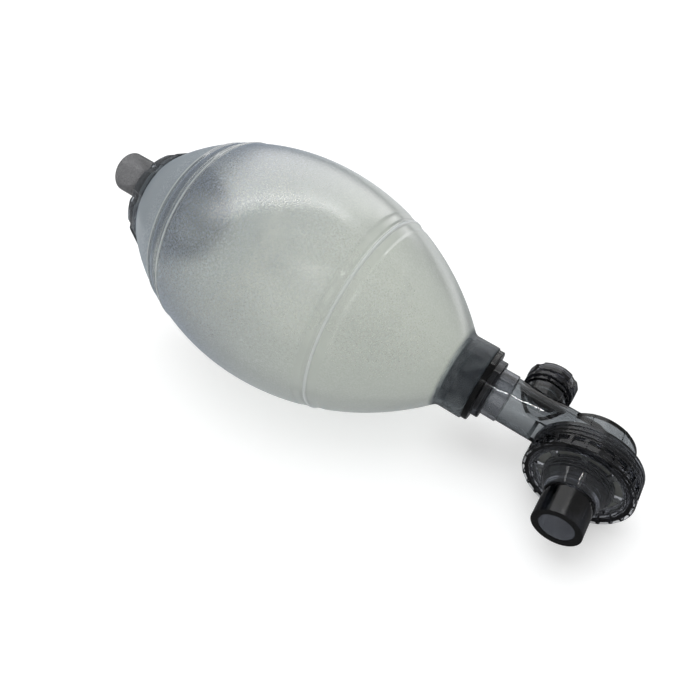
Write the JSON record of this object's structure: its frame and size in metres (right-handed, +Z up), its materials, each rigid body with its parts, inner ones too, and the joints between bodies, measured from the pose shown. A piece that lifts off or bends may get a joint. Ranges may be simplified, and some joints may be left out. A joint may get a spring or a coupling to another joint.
{
  "type": "bag valve mask",
  "caption": "Hand-squeezed silicone resuscitator bag with swivelling right-angle patient valve, 22/15 mm patient port, pressure relief valve and one-way inlet valve with reservoir spigot.",
  "frame": {"origin": "centre of the patient port's mouth", "axes": "-Y out of the patient port; +Z up as the object lies on a table on its belly and locking ring; the bag's long axis lies in a plane square to Y, tipped 13.5 degrees about Y, patient end (+X) down"},
  "size_m": [0.3149, 0.1264, 0.1308],
  "materials": {
    "silicone": "translucent, finely pebbled, satin",
    "smoke_clear": "transparent smoke grey, polished",
    "smoke_dark": "transparent dark smoke, polished",
    "smoke_light": "transparent light smoke, polished",
    "relief_dark": "moulded, gloss",
    "valve_silicone": "satin",
    "seal_rubber": "satin",
    "spring_steel": "drawn wire"
  },
  "bodies": {
    "bag": {"silicone_bag": "silicone", "bag_connector": "smoke_dark", "connector_seal": "seal_rubber", "inlet_housing": "smoke_dark", "inlet_seal": "seal_rubber", "inlet_flap_pin": "smoke_light", "reservoir_connector": "smoke_light", "oxygen_nipple": "smoke_light"},
    "inlet_collar": {"inlet_collar": "smoke_dark"},
    "inlet_flap": {"inlet_flap": "valve_silicone"},
    "valve": {"valve_housing": "smoke_clear", "housing_seal": "seal_rubber", "exhale_seat": "smoke_light", "outlet_housing": "smoke_dark", "port_seal": "seal_rubber", "relief_body": "relief_dark"},
    "locking_ring": {"locking_ring": "smoke_clear"},
    "patient_port": {"patient_port": "smoke_dark"},
    "duckbill": {"duckbill_valve": "valve_silicone"},
    "exhale_flap": {"exhale_flap": "valve_silicone"},
    "relief_poppet": {"relief_poppet": "relief_dark", "relief_seal": "valve_silicone", "relief_spring": "spring_steel"},
    "relief_cap": {"relief_cap": "relief_dark"}
  },
  "joints": [
    {"name": "valve_swivel", "type": "hinge", "parent": "bag", "child": "valve", "pos_m": [0, 0.04812, 0], "axis": [0.9724, 0, -0.2334], "continuous": true},
    {"name": "port_swivel", "type": "hinge", "parent": "valve", "child": "patient_port", "pos_m": [0, 0, 0], "axis": [0, 1, 0], "continuous": true},
    {"name": "locking_ring_turn", "type": "hinge", "parent": "valve", "child": "locking_ring", "pos_m": [0, 0, 0], "axis": [0, 1, 0], "range_deg": [0, 60]},
    {"name": "duckbill_lift", "type": "slide", "parent": "valve", "child": "duckbill", "axis": [0, 1, 0], "range_m": [0, 0.0012]},
    {"name": "exhale_flap_lift", "type": "slide", "parent": "valve", "child": "exhale_flap", "axis": [0, -1, 0], "range_m": [0, 0.0014]},
    {"name": "relief_lift", "type": "slide", "parent": "valve", "child": "relief_poppet", "axis": [0, 1, 0], "range_m": [0, 0.0025], "stiffness_N_per_m": 400},
    {"name": "relief_cap_turn", "type": "hinge", "parent": "valve", "child": "relief_cap", "pos_m": [-0.02917, 0.04812, 0.007], "axis": [0, 1, 0], "range_deg": [0, 90]},
    {"name": "inlet_collar_turn", "type": "hinge", "parent": "bag", "child": "inlet_collar", "pos_m": [-0.25671, 0.04812, 0.06163], "axis": [0.9724, 0, -0.2334], "range_deg": [0, 45]},
    {"name": "inlet_flap_lift", "type": "slide", "parent": "bag", "child": "inlet_flap", "axis": [0.9724, 0, -0.2334], "range_m": [0, 0.0018]}
  ]
}
